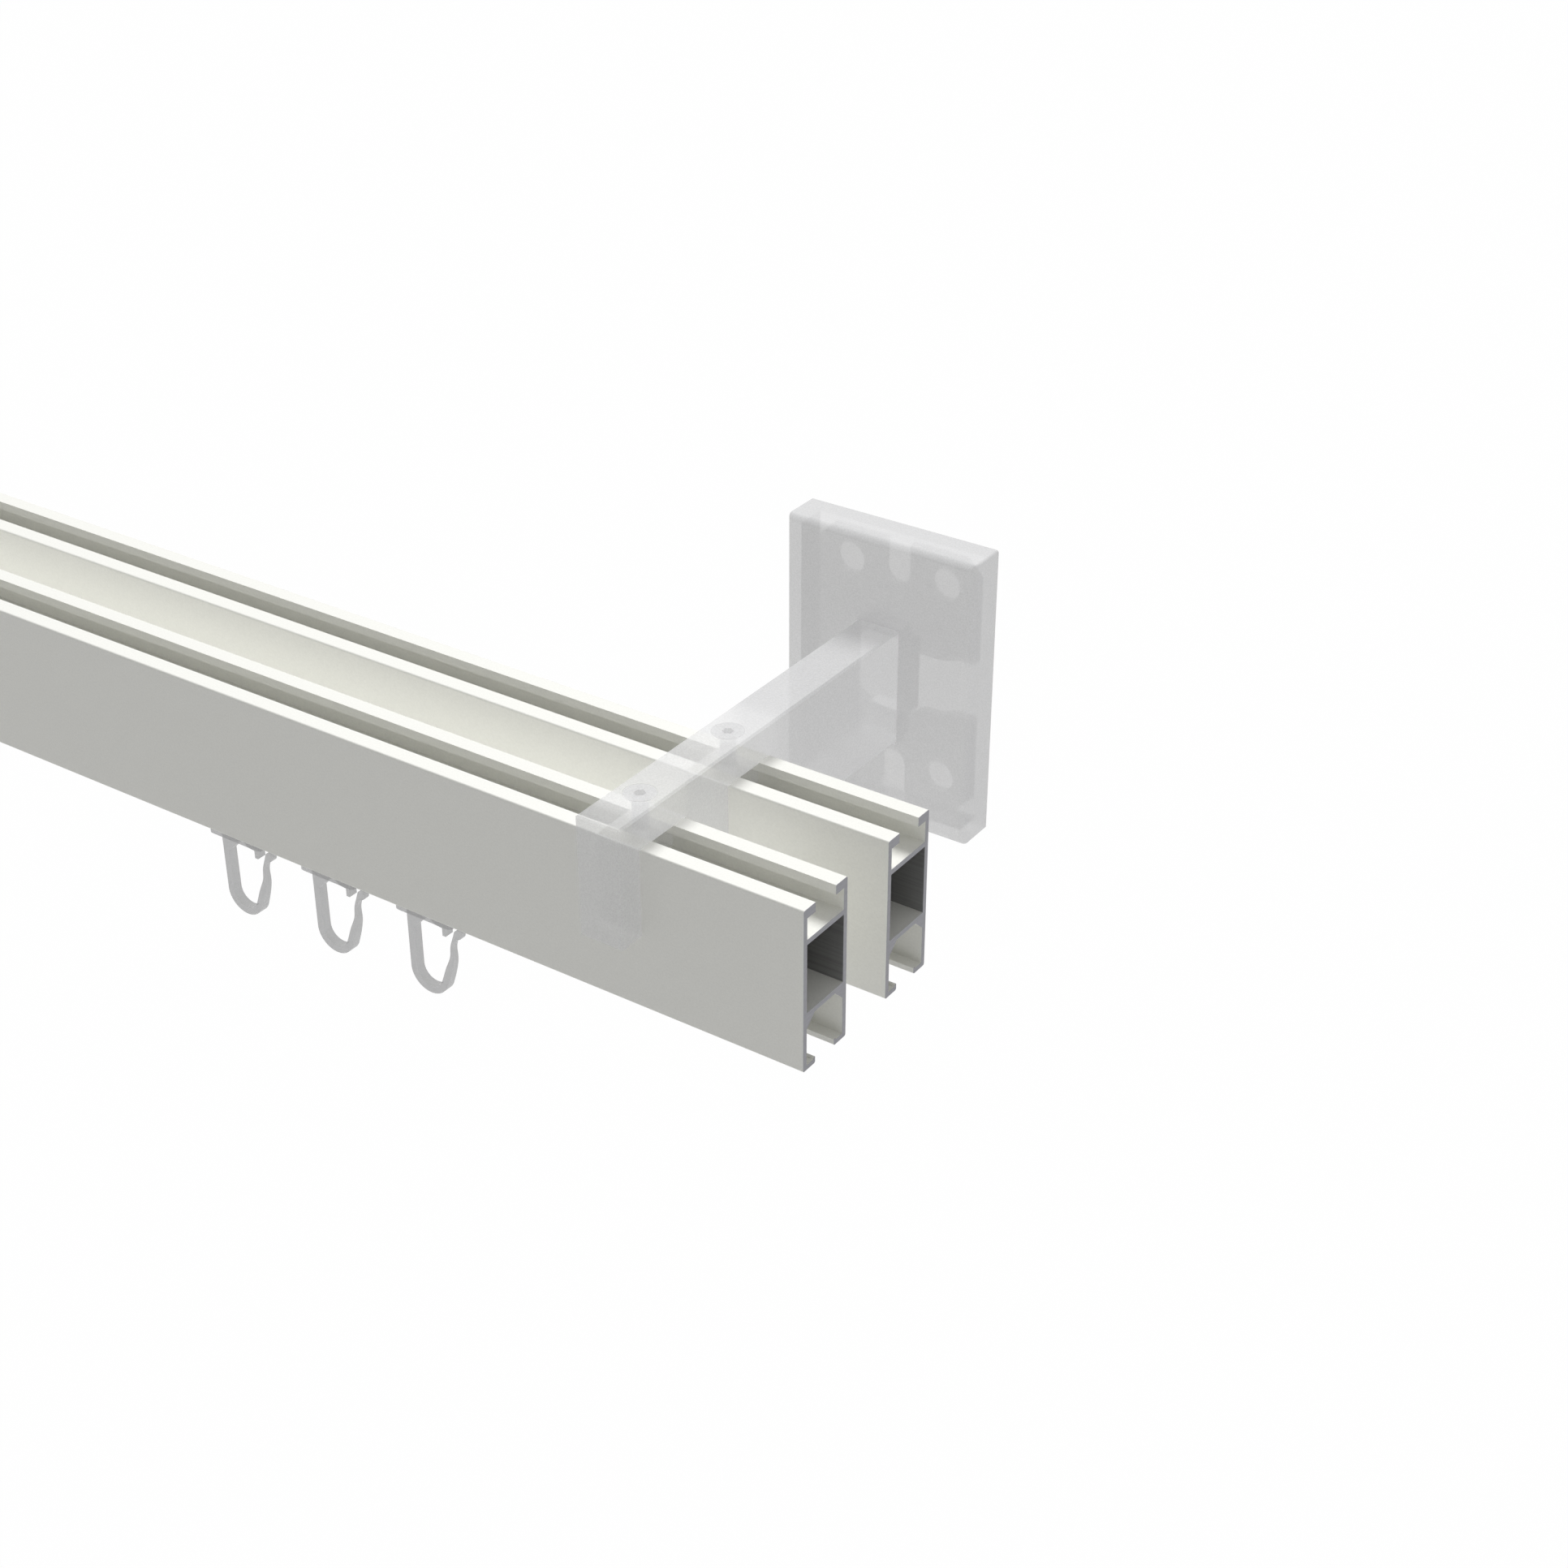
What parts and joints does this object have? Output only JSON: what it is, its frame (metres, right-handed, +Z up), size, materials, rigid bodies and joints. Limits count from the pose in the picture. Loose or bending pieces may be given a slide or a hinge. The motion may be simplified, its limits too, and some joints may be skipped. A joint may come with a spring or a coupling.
{
  "type": "double curtain track",
  "caption": "Double curtain track: two slotted box rails side by side on comb-shaped wall brackets with covered wall plates and sliding hook gliders.",
  "frame": {"origin": "middle of the right-hand bracket's four screw holes, on the wall", "axes": "+X along the rails to their right-hand end, +Y into the wall, +Z up"},
  "size_m": [1, 0.1028, 0.0852],
  "materials": {
    "coated_rail": "satin cream-white powder coat, sawn ends bare",
    "bracket_arm": "frosted see-through, light grey",
    "wall_plate": "frosted see-through, grey",
    "plate_cover": "frosted see-through, light grey",
    "screw_steel": "pale, plain",
    "nut_steel": "plain",
    "glider_plastic": "see-through grey, smooth"
  },
  "bodies": {
    "track": {"front_rail": "coated_rail", "rear_rail": "coated_rail", "right_bracket_arm": "bracket_arm", "right_wall_plate": "wall_plate", "right_front_rail_screw": "screw_steel", "right_front_slide_nut": "nut_steel", "right_rear_rail_screw": "screw_steel", "right_rear_slide_nut": "nut_steel", "left_bracket_arm": "bracket_arm", "left_wall_plate": "wall_plate", "left_front_rail_screw": "screw_steel", "left_front_slide_nut": "nut_steel", "left_rear_rail_screw": "screw_steel", "left_rear_slide_nut": "nut_steel"},
    "front_glider_1": {"front_glider_1": "glider_plastic"},
    "front_glider_2": {"front_glider_2": "glider_plastic"},
    "front_glider_3": {"front_glider_3": "glider_plastic"},
    "rear_glider_1": {"rear_glider_1": "glider_plastic"},
    "rear_glider_2": {"rear_glider_2": "glider_plastic"},
    "rear_glider_3": {"rear_glider_3": "glider_plastic"},
    "right_cover": {"right_plate_cover": "plate_cover"},
    "left_cover": {"left_plate_cover": "plate_cover"}
  },
  "joints": [
    {"name": "front_glider_1_slide", "type": "slide", "parent": "track", "child": "front_glider_1", "axis": [1, 0, 0], "range_m": [-0.8469, 0.00525]},
    {"name": "front_glider_2_slide", "type": "slide", "parent": "track", "child": "front_glider_2", "axis": [1, 0, 0], "range_m": [-0.00525, 0.00525]},
    {"name": "front_glider_3_slide", "type": "slide", "parent": "track", "child": "front_glider_3", "axis": [1, 0, 0], "range_m": [-0.00525, 0.0861]},
    {"name": "rear_glider_1_slide", "type": "slide", "parent": "track", "child": "rear_glider_1", "axis": [1, 0, 0], "range_m": [-0.8469, 0.00525]},
    {"name": "rear_glider_2_slide", "type": "slide", "parent": "track", "child": "rear_glider_2", "axis": [1, 0, 0], "range_m": [-0.00525, 0.00525]},
    {"name": "rear_glider_3_slide", "type": "slide", "parent": "track", "child": "rear_glider_3", "axis": [1, 0, 0], "range_m": [-0.00525, 0.0861]},
    {"name": "right_cover_slide", "type": "slide", "parent": "track", "child": "right_cover", "axis": [0, -1, 0], "range_m": [0, 0.0454]},
    {"name": "left_cover_slide", "type": "slide", "parent": "track", "child": "left_cover", "axis": [0, -1, 0], "range_m": [0, 0.0454]}
  ]
}
